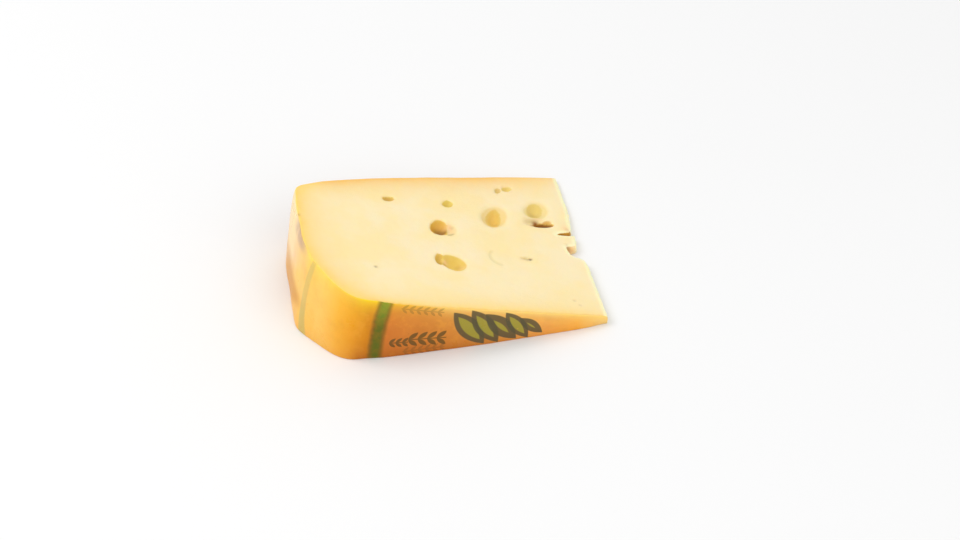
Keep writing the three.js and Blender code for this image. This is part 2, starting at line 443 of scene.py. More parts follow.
def eye_places(eye):
    """Places on an eye's wall in rings, from its bottom to just outside its lip."""
    a, b, c = eye.radii
    turn = math.radians(eye.turn)
    lip_angle = math.asin(lip_share(eye))
    rings = max(4, round(lip_angle * (a + b + c) / 3 / EYE_STEP))
    shares = [math.sin(lip_angle * k / rings) for k in range(1, rings + 1)]
    shares += [shares[-1] + outside / min(a, b) for outside in OUTSIDE_LIP]
    found = [np.array([eye.at], float)]
    for ring, share in enumerate(shares):
        count = max(6, round(math.pi * (a + b) * share / EYE_STEP))
        angle = (np.arange(count) + 0.5 * (ring % 2)) * math.tau / count
        size = share * eye_wobble(eye, angle)
        x, y = a * size * np.cos(angle), b * size * np.sin(angle)
        toward_nose = x * math.cos(turn) - y * math.sin(turn)
        back = x * math.sin(turn) + y * math.cos(turn)
        found.append(np.column_stack([eye.at[0] - toward_nose, eye.at[1] + back]))
    return np.vstack(found)


def inside_eyes(eyes, places, margin):
    """Whether places lie in an eye's opening or within a margin of it."""
    inside = np.zeros(len(places), bool)
    for eye in eyes:
        inside |= eye_share(eye, places) < lip_share(eye) + margin / min(eye.radii[:2])
    return inside


def spots(places, listed):
    """Sum of soft round spots, each given as its place, reach and height."""
    return sum(
        (height * bell(np.hypot(*(places - at).T), reach) for at, reach, height in listed),
        np.zeros(len(places)),
    )


def scar_depth(places):
    """The groove of the scar, and the faint scoop inside it."""
    offset = places - SCAR_CENTRE
    distance = np.hypot(*offset.T)
    facing = np.degrees(np.arctan2(offset[:, 1], -offset[:, 0]))
    away = np.abs((facing - SCAR_FACING + 180) % 360 - 180)
    on_arc = 1 - smoothstep(SCAR_HALF_SPAN * 0.6, SCAR_HALF_SPAN, away)
    groove = SCAR_DEPTH * np.exp(-(((distance - SCAR_RADIUS) / SCAR_WIDTH) ** 2)) * on_arc
    scoop = SCAR_SCOOP * (1 - smoothstep(SCAR_RADIUS * 0.3, SCAR_RADIUS * 1.3, distance))
    return groove + scoop


# ---- Filling a cut face with triangles ----


def hexagonal(low, high, step, random):
    """Slightly uneven places about a step apart that fill a rectangle."""
    rows = np.arange(low[1], high[1], step * math.sqrt(0.75))
    columns = np.arange(low[0], high[0], step)
    radius, across = np.meshgrid(columns, rows)
    radius[::2] += step / 2
    places = np.column_stack([radius.ravel(), across.ravel()])
    return places + random.uniform(-0.12, 0.12, places.shape) * step


def within(places, outline):
    """Whether places lie inside a closed outline."""
    x, y = places[:, 0], places[:, 1]
    inside = np.zeros(len(places), bool)
    for (x1, y1), (x2, y2) in zip(outline, np.roll(outline, -1, axis=0)):
        if y1 != y2:
            crosses = (y1 > y) != (y2 > y)
            inside ^= crosses & (x < (x2 - x1) * (y - y1) / (y2 - y1) + x1)
    return inside


def distance_to(points, places):
    """Distance from each place to the nearest of some points."""
    tree = kdtree.KDTree(len(points))
    for index, (x, y) in enumerate(points):
        tree.insert((x, y, 0), index)
    tree.balance()
    return np.array([tree.find((x, y, 0))[2] for x, y in places])


def edge_rows(outline):
    """Rows of places that follow an outline at small distances inside it."""
    along = np.roll(outline, -1, axis=0) - np.roll(outline, 1, axis=0)
    along /= np.linalg.norm(along, axis=1)[:, None]
    inward = np.column_stack([along[:, 1], -along[:, 0]])
    rows = []
    for distance in EDGE_ROWS:
        row = outline + inward * distance
        rows.append(row[within(row, outline) & (distance_to(outline, row) > 0.93 * distance)])
    return np.vstack(rows)


def thinned(places, gap):
    """Places without those closer than a gap to an earlier one."""
    cells = {}
    kept = []
    for index, (x, y) in enumerate(places):
        column, row = int(x // gap), int(y // gap)
        near = [cells.get((column + i, row + j)) for i in (-1, 0, 1) for j in (-1, 0, 1)]
        if all(n is None or math.dist(places[n], (x, y)) > gap for n in near):
            cells[column, row] = index
            kept.append(index)
    return places[kept]


def wall_places(eyes, outline):
    """Places on the walls of all eyes, without those that another eye has cut away."""
    walls = []
    for eye in eyes:
        places = eye_places(eye)
        others = [eye_depth(other, places) for other in eyes if other is not eye]
        walls.append(places[eye_depth(eye, places) >= np.max(others, axis=0) - 0.2])
    walls = thinned(np.vstack(walls), 0.03)
    return walls[within(walls, outline) & (distance_to(outline, walls) > 0.3)]


def filling(outline, eyes, fine_areas, step, random):
    """Places that fill a cut face between its edge rows and its eyes, finer in some areas."""
    low, high = outline.min(0), outline.max(0)
    coarse = hexagonal(low, high, step, random)
    coarse = coarse[~inside_eyes(eyes, coarse, COARSE_CLEAR_OF_LIP)]
    parts = []
    for at, reach in fine_areas:
        coarse = coarse[np.hypot(*(coarse - at).T) > reach + 0.3]
        fine = hexagonal(np.array(at) - reach, np.array(at) + reach, FINE_STEP, random)
        fine = fine[np.hypot(*(fine - at).T) < reach]
        parts.append(fine[~inside_eyes(eyes, fine, CLEAR_OF_LIP)])
    places = thinned(np.vstack(parts + [coarse]), FINE_STEP * 0.5)
    places = places[within(places, outline)]
    return places[distance_to(outline, places) > EDGE_ROWS[-1] + 0.45 * step]


def triangulated(places, outline_count):
    """Delaunay triangles within an outline, which is the first so many of the places."""
    loop = list(range(outline_count))
    edges = list(zip(loop, loop[1:] + loop[:1]))
    seen_from_above = [Vector((-radius, across)) for radius, across in places]
    _, _, faces, origin, _, _ = delaunay_2d_cdt(seen_from_above, edges, [], 1, 1e-5)
    back = [found[0] for found in origin]
    triangles = np.array([[back[i] for i in face] for face in faces])
    first = places[triangles[:, 1]] - places[triangles[:, 0]]
    second = places[triangles[:, 2]] - places[triangles[:, 0]]
    downward = first[:, 0] * second[:, 1] - first[:, 1] * second[:, 0] > 0
    triangles[downward] = triangles[downward][:, ::-1]
    return triangles


def cut_face(outline, eyes, fine_areas, step, random):
    """Fills an outline: all places, the outline's first, and the triangles between them."""
    rows = edge_rows(outline)
    rows = rows[~inside_eyes(eyes, rows, CLEAR_OF_LIP)]
    inner = filling(outline, eyes, fine_areas, step, random)
    places = np.vstack([outline, rows, wall_places(eyes, outline), inner])
    return places, triangulated(places, len(outline))


# ---- The wedge's mesh ----


def edge_pairs(faces):
    """Every pair of vertices that an edge joins. A closed mesh has each in both directions."""
    pairs = {pair for face in faces for pair in zip(face, face[1:] + face[:1])}
    return np.array(sorted(pairs))


def smoothed(points, pairs, strength, rounds):
    """Moves points toward the mean of their neighbours, each by its own strength."""
    here, there = pairs.T
    count = np.bincount(here, minlength=len(points))
    for _ in range(rounds):
        for axis in range(3):
            total = np.bincount(here, weights=points[there, axis], minlength=len(points))
            points[:, axis] += (total / count - points[:, axis]) * strength
    return points


def lip_softness(eyes, places):
    """How strongly the mesh is smoothed at some places because an eye's lip is near."""
    most = np.zeros(len(places))
    for eye in eyes:
        size = (eye.radii[0] + eye.radii[1]) / 2
        distance = np.abs(eye_share(eye, places) - lip_share(eye)) * size
        width = LIP_WIDTH[0] + LIP_WIDTH[1] * eye.soft
        strength = LIP_STRENGTH[0] + LIP_STRENGTH[1] * eye.soft
        most = np.maximum(most, bell(distance, width) * strength)
    return most


def eye_colours(eyes, places):
    """How much painted light and shade a place on an eye's wall shows, and how golden and how brown
    it is painted.
    """
    wall, gold, brown = np.zeros((3, len(places)))
    for eye in eyes:
        depth = eye_depth(eye, places)
        share = depth / (eye.radii[2] - eye.lift)
        here = eye.tint * smoothstep(0, WALL_SHOWS[0] + WALL_SHOWS[1] * eye.soft, depth)
        most = here > wall
        gold[most] = (eye.gold * smoothstep(*TURNS_GOLD, share))[most]
        brown[most] = (eye.bottom_shade * smoothstep(*TURNS_BROWN, share))[most]
        wall[most] = here[most]
    return wall, gold, brown


class Wedge:
    """The wedge's vertices and faces, with what its materials need to know at each vertex."""

    def __init__(self):
        random = np.random.default_rng(SEED)
        self.wall, self.nose_count = side_wall()
        self.rows, self.columns, _ = self.wall.shape
        self.is_rind = np.arange(self.columns) >= self.nose_count - 1
        on_rind = self.is_rind.copy()
        on_rind[0] = True
        x, across, z = self.wall.transpose(2, 0, 1)
        self.top_outline = np.column_stack([np.hypot(x[-1], z[-1]), across[-1]])
        self.low_outline = np.column_stack([-x[0], across[0]])
        fine = [(at, FINE_MARGIN + reach) for at, reach, _ in DENTS] + [(SCAR_CENTRE, SCAR_REACH)]
        self.top, self.top_triangles = cut_face(
            self.top_outline, TOP_EYES, fine, UPPER_STEP, random
        )
        self.low, self.low_triangles = cut_face(
            self.low_outline, UNDERSIDE_EYES, [], UNDERSIDE_STEP, random
        )
        self.top_rind = self.top_outline[on_rind]
        self.low_rind = self.low_outline[on_rind]
        self.top_nose = self.top_outline[: self.nose_count]

    def upper_points(self, places):
        """Where places on the upper cut face are, with its eyes, dents and worn edges."""
        up = np.array([math.sin(WEDGE_ANGLE), 0, math.cos(WEDGE_ANGLE)])
        depth = np.max([eye_depth(eye, places) for eye in TOP_EYES], axis=0)
        depth = depth + spots(places, DENTS) + scar_depth(places)
        depth -= waves(places, CUT_WAVES)
        depth += worn(distance_to(self.top_rind, places), CUT_EDGE_WIDTH, CUT_EDGE_DROP)
        depth += worn(distance_to(self.top_nose, places), NOSE_EDGE_WIDTH, NOSE_EDGE_DROP)
        radius, across = places.T
        flat = [-radius * math.cos(WEDGE_ANGLE), across, radius * math.sin(WEDGE_ANGLE)]
        return np.column_stack(flat) - depth[:, None] * up

    def lower_points(self, places):
        """Where places on the lower cut face are, with its eyes."""
        depth = np.max([eye_depth(eye, places) for eye in UNDERSIDE_EYES], axis=0)
        return np.column_stack([-places[:, 0], places[:, 1], depth])

    def points(self):
        """All vertices: the side wall's, then those inside the upper and the lower cut face."""
        wall = self.wall.copy()
        lowered = self.upper_points(self.top_outline) - wall[-1]
        for row, share_up in enumerate(row_shares()):
            wall[row] += lowered * max(2 * share_up - 1, 0) ** 3
        wall[:, : self.nose_count] = self.torn_nose(wall[:, : self.nose_count])
        top, low = self.upper_points(self.top), self.lower_points(self.low)
        return self.stacked(wall.reshape(-1, 3), top, low)

    def torn_nose(self, nose):
        """Roughens the nose's broken face between its upper and lower edges."""
        rows, columns, _ = nose.shape
        along = np.gradient(nose[0, :, :2], axis=0)
        along /= np.linalg.norm(along, axis=1)[:, None] + 1e-9
        outward = np.column_stack([along[:, 1], -along[:, 0], np.zeros(columns)])
        rough = waves(nose.reshape(-1, 3), BREAK_WAVES).reshape(rows, columns)
        amount = np.sin(math.pi * row_shares()[:, None]) * smoothstep(0, 4, from_ends(columns))
        shift = (rough + BREAK_BULGE) * amount
        return nose + shift[..., None] * outward

    def faces(self):
        """All faces, and for each whether it is rind."""
        here = np.arange((self.rows - 1) * self.columns).reshape(-1, self.columns)
        there = np.roll(here, -1, axis=1)
        quads = np.stack([here, there, there + self.columns, here + self.columns], axis=-1)
        rind = np.tile(self.is_rind, self.rows - 1).tolist()
        # The wall's last row is the upper outline, and its first row is the lower one.
        top = self.top_triangles + (self.rows - 1) * self.columns
        low_start = (self.rows - 2) * self.columns + len(self.top)
        low = self.low_triangles + np.where(self.low_triangles < self.columns, 0, low_start)
        triangles = np.vstack([top, low[:, ::-1]]).tolist()
        return quads.reshape(-1, 4).tolist() + triangles, rind + [False] * len(triangles)

    def stacked(self, wall, top, low):
        """The side wall's values, then the cut faces', without their outlines' again."""
        return np.concatenate([wall, top[self.columns :], low[self.columns :]])

    def attributes(self):
        """What the materials need to know at each vertex."""
        outline, low = self.top_outline, np.zeros(len(self.low))
        edge_top = distance_to(self.top_rind, self.top)
        edge_low = distance_to(self.low_rind, self.low)
        nose_top = distance_to(self.top_nose, self.top)
        wall_top, gold_top, brown_top = eye_colours(TOP_EYES, self.top)
        wall_low, gold_low, brown_low = eye_colours(UNDERSIDE_EYES, self.low)
        shade_top = np.maximum(brown_top, spots(self.top, SHADES))
        radius, across = outline.T
        # Painted shade in the tear's gap.
        in_tear = (np.abs(across - TEAR_ACROSS) < TEAR_HALF_WIDTH) & ~self.is_rind
        tear = smoothstep(*TEAR_DARKENS, radius) * in_tear
        none = 0 * tear
        parts = {
            "edge_mm": (edge_top[: self.columns], edge_top, edge_low),
            "nose_mm": (nose_top[: self.columns], nose_top, low + FAR),
            # wall and gold: painted light and shade on the eyes' walls, and painted shade in the
            # tear.
            "wall": (tear, wall_top, wall_low),
            "gold": (tear, gold_top, gold_low),
            # Stains and grains, and painted shadow in the eyes.
            "stain_and_shadow": (none, spots(self.top, STAINS_AND_SHADOWS), low),
            "shade": (spots(outline, NOSE_SHADES), shade_top, brown_low),
            # torn: torn paste, painted light on lit eye walls, and peach on the notch's walls.
            "torn": (spots(outline, NOSE_PEACH), spots(self.top, TORN_AND_LIT), low),
            "scar": (none, scar_depth(self.top) / SCAR_DEPTH, low),
        }
        return {
            name: self.stacked(np.tile(column, self.rows), upper, lower)
            for name, (column, upper, lower) in parts.items()
        }

    def smoothing(self):
        """How strongly each vertex is smoothed: at the wedge's edges and at the eyes' lips."""
        share = row_shares()
        near_edge = bell(share, EDGE_WIDTH_SHARE) + bell(1 - share, EDGE_WIDTH_SHARE)
        wall = np.repeat(near_edge * EDGE_STRENGTH, self.columns)
        top = bell(distance_to(self.top_outline, self.top), EDGE_WIDTH) * EDGE_STRENGTH
        low = bell(distance_to(self.low_outline, self.low), EDGE_WIDTH) * EDGE_STRENGTH
        top = np.maximum(top, lip_softness(TOP_EYES, self.top))
        low = np.maximum(low, lip_softness(UNDERSIDE_EYES, self.low))
        return self.stacked(wall, top, low)


def placed(name, data):
    """A new object in the scene."""
    thing = bpy.data.objects.new(name, data)
    bpy.context.scene.collection.objects.link(thing)
    return thing


def mesh_object(name, points, faces, attributes):
    mesh = bpy.data.meshes.new(name)
    mesh.from_pydata(points.tolist(), [], faces)
    for title, values in attributes.items():
        attribute = mesh.attributes.new(title, "FLOAT", "POINT")
        attribute.data.foreach_set("value", np.asarray(values, np.float32))
    mesh.update()
    return placed(name, mesh)


# ---- Materials ----


class Nodes:
    """Adds and links a material's nodes, so that a material reads as a formula."""

    def __init__(self, name):
        self.material = bpy.data.materials.new(name)
        self.material.use_nodes = True
        self.tree = self.material.node_tree
        self.tree.nodes.clear()

    def put(self, socket, value):
        if isinstance(value, bpy.types.NodeSocket):
            self.tree.links.new(value, socket)
        else:
            socket.default_value = value

    def add(self, kind, inputs=(), **settings):
        node = self.tree.nodes.new("ShaderNode" + kind)
        for key, value in settings.items():
            setattr(node, key, value)
        for key, value in dict(inputs).items():
            self.put(node.inputs[key], value)
        return node

    def math(self, operation, first, second=0, third=0):
        node = self.add("Math", {0: first, 1: second, 2: third}, operation=operation)
        return node.outputs[0]

    def plus(self, first, second):
        return self.math("ADD", first, second)

    def minus(self, first, second):
        return self.math("SUBTRACT", first, second)

    def line(self, value, slope, start):
        """A value times a slope, plus a start."""
        return self.math("MULTIPLY_ADD", value, slope, start)

    def step(self, value, start, end):
        """Rises smoothly from 0 at start to 1 at end."""
        inputs = {"Value": value, "From Min": start, "From Max": end}
        return self.add("MapRange", inputs, interpolation_type="SMOOTHSTEP").outputs["Result"]

    def band(self, value, low, high, soft):
        """1 where a value is between low and high, with soft ends."""
        distance = self.math("ABSOLUTE", self.minus(value, (low + high) / 2))
        half = (high - low) / 2
        return self.step(distance, half + soft, half - soft)

    def times(self, *values):
        result = values[0]
        for value in values[1:]:
            result = self.math("MULTIPLY", result, value)
        return result

    def from_axis(self, x, z):
        """How far a place is from the wheel's axis."""
        return self.math("SQRT", self.plus(self.times(x, x), self.times(z, z)))

    def fading(self, distance, reach):
        """1 at no distance, falling to about a third at the reach and on toward 0."""
        return self.math("POWER", 1 / math.e, self.math("DIVIDE", distance, reach))

    def ramp(self, value, stops):
        """A colour that runs through stops, given as rising (value, colour) pairs."""
        low, high = stops[0][0], stops[-1][0]
        share = self.math("DIVIDE", self.minus(value, low), high - low)
        node = self.add("ValToRGB", {"Fac": share})
        elements = node.color_ramp.elements
        for place, tone in stops[1:-1]:
            elements.new((place - low) / (high - low)).color = tone
        elements[0].color, elements[-1].color = stops[0][1], stops[-1][1]
        return node.outputs["Color"]

    def blend(self, share, first, second):
        """From a first colour at 0 to a second one at 1."""
        # The node's factor and colour inputs are the sockets 0, 6 and 7.
        node = self.add("Mix", {0: share, 6: first, 7: second}, data_type="RGBA")
        return node.outputs[2]

    def noise(self, vector, size, detail=2, roughness=0.5):
        """Noise from 0 to 1; size is its waves' length in the vector's units."""
        settings = {"Scale": 1 / size, "Detail": detail, "Roughness": roughness}
        return self.add("TexNoise", {"Vector": vector, **settings}).outputs["Fac"]

    def attribute(self, name):
        return self.add("Attribute", attribute_name=name).outputs["Fac"]

    def local(self, vector, at, turn=0, size=(1, 1, 1)):
        """A vector in a frame that is placed, turned about the third axis and scaled."""
        rotation = (0, 0, math.radians(turn))
        inputs = {"Vector": vector, "Location": at, "Rotation": rotation, "Scale": size}
        return self.add("Mapping", inputs, vector_type="TEXTURE").outputs["Vector"]

    def split(self, vector):
        outputs = self.add("SeparateXYZ", {"Vector": vector}).outputs
        return outputs["X"], outputs["Y"], outputs["Z"]

    def joined(self, x, y):
        return self.add("CombineXYZ", {"X": x, "Y": y}).outputs["Vector"]

    def millimetres(self):
        """The place on the object in millimetres from the wheel's axis and middle plane."""
        place = self.add("TexCoord").outputs["Object"]
        return self.local(place, tuple(AXIS), 0, (MM, MM, MM))

    def bump(self, height, depth, under=None):
        """A bump of a depth in metres for a height from 0 to 1, over another bump if there is one."""
        node = self.add("Bump", {"Height": height, "Distance": depth})
        if under is not None:
            self.put(node.inputs["Normal"], under)
        return node.outputs["Normal"]

    def finish(self, **sockets):
        shader = self.add("BsdfPrincipled")
        for key, value in sockets.items():
            self.put(shader.inputs[key.replace("_", " ")], value)
        output = self.add("OutputMaterial")
        self.tree.links.new(shader.outputs[0], output.inputs["Surface"])
        return self.material


def colour(red, green, blue):
    """A colour given as 0 to 255 sRGB, as the linear colour that a socket takes."""
    shares = [c / 255 for c in (red, green, blue)]
    return tuple(s / 12.92 if s <= 0.04045 else ((s + 0.055) / 1.055) ** 2.4 for s in shares) + (1,)


PASTE_PALE = colour(249, 229, 185)
PASTE_WARM = colour(250, 226, 168)
PASTE_FRONT_EDGE = colour(248, 212, 120)
PASTE_BACK_EDGE = colour(241, 188, 82)
PASTE_HEEL_EDGE = colour(250, 207, 104)
PASTE_DRY_EDGE = colour(238, 180, 92)
# Painted light shining through the thin paste at the nose.
PASTE_THIN_GLOW = colour(255, 247, 198)
# Torn paste, and painted light on lit eye walls.
PASTE_TORN_AND_LIT = colour(248, 206, 148)
SCAR_OLIVE = colour(226, 206, 148)
# Painted light and shade on the eyes' walls: olive in shallow eyes, golden where light bounces deep
# down.
PAINTED_HOLLOW_OLIVE = colour(228, 203, 100)
PAINTED_HOLLOW_GOLD = colour(233, 179, 70)
# Painted shade in the eyes, the slit, the tear and the notch's corner, and a brown blot by the slit.
SHADE_BROWN = colour(148, 87, 4)
# Stains and grains, and painted shadow in the eyes.
STAIN_AND_SHADOW = colour(110, 84, 48)

# How the rind's colour runs from the nose to the rim: distance from the wheel's axis and colour.
# The paler nose end is partly lighter rind and partly painted light shining through the thin cheese.
RIND_TONES = [
    (22, colour(253, 219, 142)),
    (38, colour(253, 173, 62)),
    (56, colour(242, 164, 80)),
    (104, colour(217, 138, 56)),
    (140, colour(213, 121, 46)),
    (150, colour(222, 141, 6)),
    (158, colour(241, 163, 30)),
    (164, colour(249, 182, 54)),
    (170, colour(252, 203, 98)),
]
RIND_GLOW = colour(255, 220, 126)
RIND_SHOULDER_GLOW = colour(255, 224, 44)
RIND_BRIGHT = colour(255, 180, 64)
# Painted sheen on the rim's back half, a reflection: pale, and peach lower down.
RIND_SHEEN_PALE = colour(250, 226, 186)
RIND_SHEEN_PEACH = colour(250, 206, 156)
# Painted shade low on the rim.
RIND_LOW_SHADE = colour(228, 154, 70)
# Painted shade, darker and more orange, low on the rim's back.
RIND_LOW_BACK_SHADE = colour(208, 136, 4)
# Dull rind, for its dull clouds and for painted shade low on the flat faces.
RIND_DULL = colour(178, 98, 30)
RIND_SMUDGE = colour(184, 146, 118)
RING_GREEN = colour(134, 152, 40)
RING_OLIVE = colour(96, 104, 22)
RING_BROWN = colour(150, 88, 30)
HOOP_GREY = colour(196, 178, 104)
PRINT_DARK = colour(92, 84, 56)
PRINT_YELLOW_GREEN = colour(158, 150, 56)
PRINT_OLIVE = colour(100, 78, 34)

# Between which distances from the wheel's axis the heel's own tones and the rim's come in.
HEEL_TURN = (142, 156)
RIM_TURN = (152, 166)

# Print on the rind's flat faces. The ring leans by a share of the height.
RING_RADIUS = 145.1
RING_LEAN = 0.068
# Leaves: place as (x, height), half sizes, turn, and how far in the paler middle starts.
LEAVES = [
    ((-96, 12.4), (14, 6), -56, 0.45),
    ((-87.5, 12), (13.5, 5.6), -60, 0.5),
    ((-79, 10.4), (12.5, 5.4), -50, 0.7),
    ((-70.5, 9.6), (11, 4.6), -58, 0.5),
    ((-63, 8), (8.5, 3.4), -44, 0.8),
]
# Twigs: where they start, turn, length, and their leaves' spacing and half sizes.
BOLD_TWIGS = [((-128, 10.2), -5, 20, 5, (3.6, 1.5)), ((-138, 9.4), -4, 10, 3.4, (2.4, 1))]
FAINT_TWIGS = [((-131, 31), -15.5, 23, 3.8, (2.2, 0.8)), ((-131, 2.6), 0, 22, 3.8, (2.2, 0.8))]


def paste_edges(n, place, tone):
    """Adds the paste's yellower border with its dry line, and painted light shining through the thin
    paste at the nose.
    """
    x, y, z = n.split(place)
    radius = n.from_axis(x, z)
    heel = n.step(radius, *HEEL_TURN)
    edge = n.attribute("edge_mm")
    wander = n.line(n.noise(place, 9, 3), 3, -1.5)
    from_edge = n.math("MAXIMUM", n.plus(edge, wander), 0)
    border = n.fading(from_edge, n.line(heel, 3, 7.5))
    border = n.times(border, n.line(n.step(radius, 18, 52), 0.4, 0.6))
    border_tone = n.blend(n.step(y, 20, 52), PASTE_FRONT_EDGE, PASTE_BACK_EDGE)
    tone = n.blend(border, tone, n.blend(heel, border_tone, PASTE_HEEL_EDGE))
    dry = n.times(n.step(edge, 1.4, 0.2), n.minus(1, heel), 0.4)
    tone = n.blend(dry, tone, PASTE_DRY_EDGE)
    # Painted light shining through the thin paste near the nose.
    thin = n.times(n.step(n.attribute("nose_mm"), 3.2, 0.6), 0.75)
    return n.blend(thin, tone, PASTE_THIN_GLOW)


def paste_marks(n, tone):
    """Adds the scar, painted light and shade on eye walls, torn paste, painted shade, and stains with
    painted shadow.
    """
    tone = n.blend(n.times(n.step(n.attribute("scar"), 0.2, 1), 0.5), tone, SCAR_OLIVE)
    # Painted light and shade on the eyes' walls, and painted shade in the tear.
    wall = n.blend(n.attribute("gold"), PAINTED_HOLLOW_OLIVE, PAINTED_HOLLOW_GOLD)
    tone = n.blend(n.attribute("wall"), tone, wall)
    # Torn paste, and painted light on lit eye walls.
    tone = n.blend(n.times(n.attribute("torn"), 0.8), tone, PASTE_TORN_AND_LIT)
    # Painted shade in the eyes, the slit, the tear and the notch's corner, and a brown blot by the
    # slit.
    tone = n.blend(n.attribute("shade"), tone, SHADE_BROWN)
    # Stains and grains, and painted shadow in the eyes.
    return n.blend(n.attribute("stain_and_shadow"), tone, STAIN_AND_SHADOW)


def paste_material():
    n = Nodes("paste")
    place = n.millimetres()
    patchy = n.noise(place, 24, 3, 0.55)
    tone = n.blend(n.step(patchy, 0.35, 0.65), PASTE_PALE, PASTE_WARM)
    tone = paste_marks(n, paste_edges(n, place, tone))
    grain = n.noise(place, 0.8, 4, 0.6)
    curd = n.noise(place, 3.5, 3, 0.5)
    return n.finish(
        Base_Color=tone,
        Roughness=n.line(grain, 0.15, 0.4),
        Specular_IOR_Level=0.35,
        Subsurface_Weight=0.5,
        Subsurface_Radius=(1, 0.75, 0.35),
        Subsurface_Scale=0.003,
        Normal=n.bump(grain, 0.00012, n.bump(curd, 0.0002)),
    )


class OnRind:
    """What the rind's colour depends on at a place."""

    def __init__(self, n):
        self.place = n.millimetres()
        self.x, self.y, self.z = n.split(self.place)
        self.radius = n.from_axis(self.x, self.z)
        self.rim = n.step(self.radius, *RIM_TURN)
        self.flat = n.minus(1, self.rim)
        away = n.times(self.x, -math.sin(WEDGE_ANGLE))
        below_top = n.plus(away, n.times(self.z, -math.cos(WEDGE_ANGLE)))
        self.below_top = n.math("MAXIMUM", below_top, 0)
        self.clouds = n.noise(self.place, 16, 5, 0.6)


def rind_base(n, at):
    """The rind's colour from the nose to the rim, with dull and bright clouds."""
    tone = n.ramp(at.radius, RIND_TONES)
    dull = n.times(n.step(at.clouds, 0.45, 0.7), n.line(at.flat, 0.14, 0.16))
    tone = n.blend(dull, tone, RIND_DULL)
    bright = n.times(n.step(n.noise(at.place, 7, 4, 0.6), 0.5, 0.7), 0.26)
    return n.blend(bright, tone, RIND_BRIGHT)


def rind_low_shade(n, at, tone):
    """Paints shade low on the rind, for contact shadow and less bounced light near the floor."""
    low = n.fading(n.math("DIVIDE", at.z, at.radius), 0.06)
    share = n.line(n.step(at.radius, 30, 125), 0.7, 0.2)
    # Painted shade low on the flat faces, for contact shadow and less bounced light.
    tone = n.blend(n.times(low, share, at.flat), tone, RIND_DULL)
    # Painted shade low on the rim.
    return n.blend(n.times(n.fading(at.z, 12), at.rim, 0.5), tone, RIND_LOW_SHADE)


def rind_glow(n, at, tone):
    """Brightens the rind below the upper cut face, where light comes through its edge."""
    tone = n.blend(n.times(n.fading(at.below_top, 12), at.flat, 0.3), tone, RIND_BRIGHT)
    middle = n.band(at.radius, 115, 142, 8)
    most = n.minus(0.88, n.plus(n.times(middle, 0.33), n.times(at.rim, 0.33)))
    reach = n.line(n.step(at.radius, *HEEL_TURN), 1.8, 3.2)
    glow = n.times(most, n.fading(at.below_top, reach))
    toward_shoulder = n.times(n.step(at.radius, 100, 145), n.line(at.rim, -0.4, 1))
    return n.blend(glow, tone, n.blend(toward_shoulder, RIND_GLOW, RIND_SHOULDER_GLOW))


def rim_sheen_shade_and_smudge(n, at, tone):
    """Adds a painted sheen on the rim's back half, painted shade low on it, and the smudge below its
    upper edge.
    """
    # Painted pale sheen, a reflection, on the rim's back half, peach lower down.
    back_half = n.times(at.rim, n.step(at.y, -22, 14), n.step(at.y, 60, 42))
    high = n.step(n.line(at.y, 0.6, at.z), 21, 31)
    pale = n.blend(n.step(at.y, 7, 19), RIND_SHEEN_PEACH, RIND_SHEEN_PALE)
    tone = n.blend(n.times(back_half, high, 0.6), tone, pale)

    # Painted shade, darker and more orange, low on the rim.
    low = n.times(n.step(n.line(at.y, -0.5, at.z), 26, 13), n.step(at.z, 24, 12))
    low = n.times(low, n.step(n.line(at.y, 0.5, at.z), 1, 8), at.rim)
    low_share = n.line(n.step(at.y, 36, 20), 0.35, 0.4)
    tone = n.blend(n.times(low, low_share), tone, RIND_LOW_BACK_SHADE)

    end = n.line(n.step(at.y, -12, 26), 3, 5)
    smudge = n.times(n.step(n.minus(at.below_top, end), 3, -3), n.band(at.y, -6, 18, 7))
    smudge = n.times(smudge, at.rim, n.step(n.noise(at.place, 9, 2), 0.1, 0.5), 0.75)
    return n.blend(smudge, tone, RIND_SMUDGE)


def ring_print(n, at, on_face, tone):
    """Adds the printed green ring, which leans a little, with its brown soft edges."""
    ring_radius = n.plus(n.noise(at.place, 5, 3), RING_RADIUS)
    away = n.math("ABSOLUTE", n.minus(n.line(at.z, RING_LEAN, at.radius), ring_radius))
    # The ring darkens to olive low down: partly the print's own colour, partly painted shade.
    green = n.blend(n.step(at.z, 36, 18), RING_GREEN, RING_OLIVE)
    green = n.blend(n.times(n.step(away, 1, 3.2), 0.6), green, RING_BROWN)
    streaks = n.line(n.noise(at.place, 2.5, 4), 0.5, 0.68)
    return n.blend(n.times(n.step(away, 5, 2.5), on_face, streaks), tone, green)


def hoop_print(n, at, tone):
    """Adds the printed grey hoop on the rim, which leans and bends low down."""
    height_squared = n.times(at.z, at.z)
    low_bend = n.times(n.fading(height_squared, 75), 6)
    lean = n.line(height_squared, 0.0019, 16.6)
    away = n.math("ABSOLUTE", n.plus(at.y, n.plus(lean, low_bend)))
    half = n.line(height_squared, -0.0005, 2.75)
    hoop = n.step(n.minus(away, half), 0.9, -0.9)
    return n.blend(n.times(hoop, n.line(n.step(at.z, 22, 8), 0.25, 0.5)), tone, HOOP_GREY)


def in_leaf(n, x, y):
    """Above 0 in a pointed oval that reaches from -1 to 1 both ways, and 1 at its middle."""
    return n.minus(1, n.plus(n.times(x, x), n.math("ABSOLUTE", y)))


